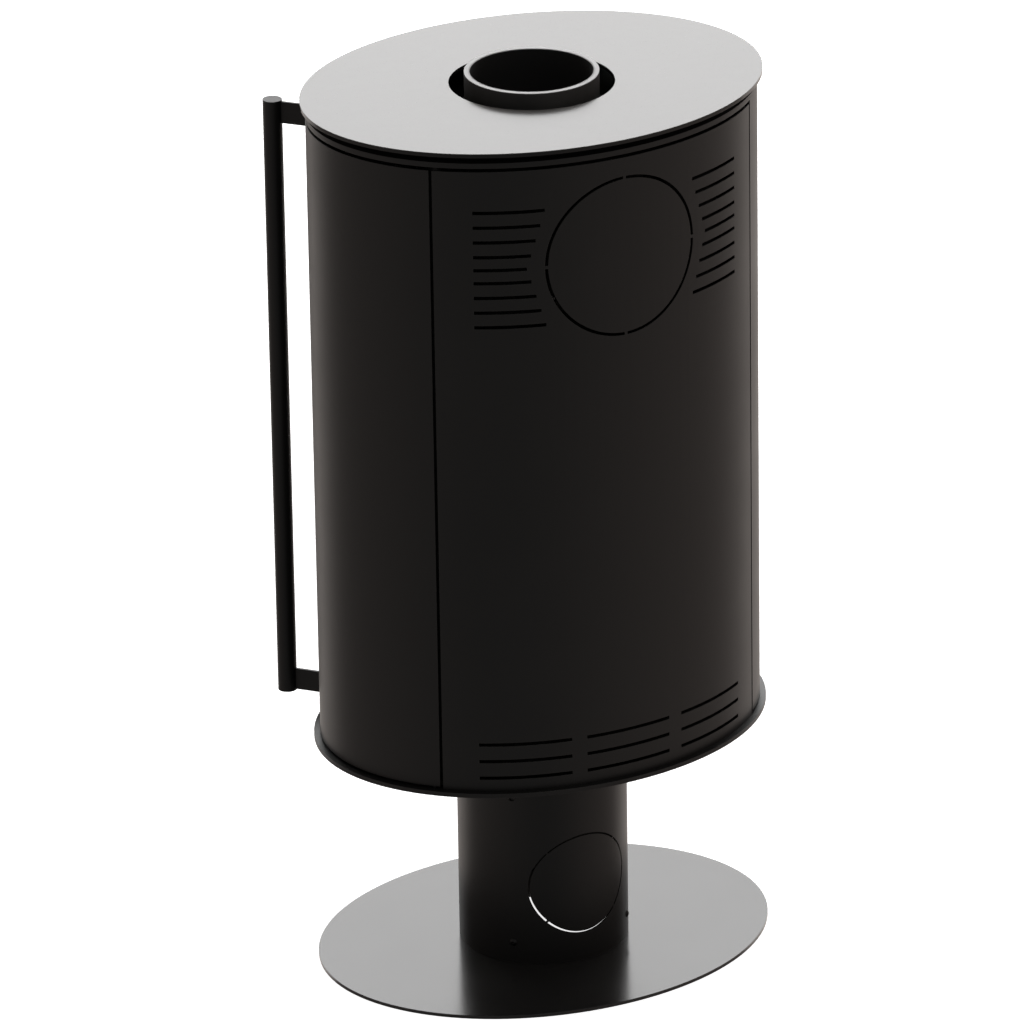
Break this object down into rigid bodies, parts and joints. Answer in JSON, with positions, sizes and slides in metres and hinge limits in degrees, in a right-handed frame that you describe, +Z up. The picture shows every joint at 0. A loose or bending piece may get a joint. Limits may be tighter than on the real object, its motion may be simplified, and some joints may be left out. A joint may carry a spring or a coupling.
{
  "type": "wood burning stove",
  "caption": "Oval sheet-steel wood burning stove on a round column and base plate, with a curved glazed door, a full-height bar handle, a top flue collar and an air slide.",
  "frame": {"origin": "centre of the base plate's underside, on the floor", "axes": "+Z up, -Y out of the door, +Y out of the rear panel, +X to the right of a person who faces the door"},
  "size_m": [0.533, 0.423, 1.039],
  "materials": {
    "casing_paint": "matt heat-resistant black paint",
    "plate_paint": "heat-resistant black paint with a soft sheen",
    "firebox_paint": "matt black paint on welded steel plate",
    "handle_paint": "satin black paint",
    "black_screw": "blackened steel",
    "zinc_steel": "zinc-plated steel sheet",
    "bare_steel": "bare steel",
    "cast_iron": "cast iron, machined on the collar rim",
    "vermiculite": "pressed vermiculite board",
    "ceramic_glass": "clear ceramic glass",
    "rope": "woven glass-fibre rope"
  },
  "bodies": {
    "stove_body": {"base_plate": "plate_paint", "foot_ring": "firebox_paint", "foot_screws": "black_screw", "column": "casing_paint", "column_socket": "firebox_paint", "column_top_screws": "black_screw", "bottom_plate": "casing_paint", "air_spigot": "zinc_steel", "side_panel_left": "casing_paint", "side_panel_right": "casing_paint", "rear_panel": "casing_paint", "frame_posts": "casing_paint", "top_band": "casing_paint", "top_spacer": "casing_paint", "top_plate": "plate_paint", "flue_collar": "cast_iron", "collar_screws": "bare_steel", "firebox_walls": "firebox_paint", "firebox_floor": "firebox_paint", "firebox_roof": "firebox_paint", "front_frame": "firebox_paint", "fire_bed": "vermiculite", "grate": "cast_iron", "liner_rear": "vermiculite", "liner_left": "vermiculite", "liner_right": "vermiculite", "baffle_plate": "vermiculite", "smoke_deflector": "bare_steel", "log_retainer": "cast_iron", "rear_outlet": "cast_iron", "rear_outlet_cover": "casing_paint", "cover_screws": "bare_steel", "heat_shield": "firebox_paint", "ash_pan": "zinc_steel", "ash_pan_rails": "firebox_paint", "air_box": "firebox_paint", "air_ducts": "firebox_paint", "air_wash_channel": "firebox_paint", "hinge_brackets": "firebox_paint", "hinge_pins": "bare_steel", "catch_bracket": "zinc_steel", "lever_guide": "zinc_steel"},
    "door": {"door_skin": "casing_paint", "door_frame": "firebox_paint", "door_glass": "ceramic_glass", "glass_seal": "rope", "door_rope_seal": "rope", "glass_clamps": "firebox_paint", "glass_clamp_screws": "bare_steel", "hinge_barrels": "firebox_paint", "strike_plate": "zinc_steel", "handle_bar": "handle_paint", "handle_arms": "handle_paint", "handle_screws": "bare_steel"},
    "catch_arm": {"catch_arm": "zinc_steel"},
    "catch_roller": {"catch_roller": "bare_steel"},
    "air_control": {"air_valve": "zinc_steel", "air_lever": "zinc_steel", "air_knob": "handle_paint"}
  },
  "joints": [
    {"name": "door_swing", "type": "hinge", "parent": "stove_body", "child": "door", "pos_m": [-0.17909, -0.13305, 0.6], "axis": [0, 0, -1], "range_deg": [0, 110]},
    {"name": "catch_arm_pivot", "type": "hinge", "parent": "stove_body", "child": "catch_arm", "pos_m": [0.164, -0.07, 0.655], "axis": [0, 0, -1], "range_deg": [0, 3], "stiffness_Nm_per_rad": 1, "springref_deg": -17.19},
    {"name": "roller_spin", "type": "hinge", "parent": "catch_arm", "child": "catch_roller", "pos_m": [0.1655, -0.116, 0.655], "axis": [0, 0, 1], "continuous": true},
    {"name": "air_slide", "type": "slide", "parent": "stove_body", "child": "air_control", "axis": [0, -1, 0], "range_m": [0, 0.045]}
  ]
}
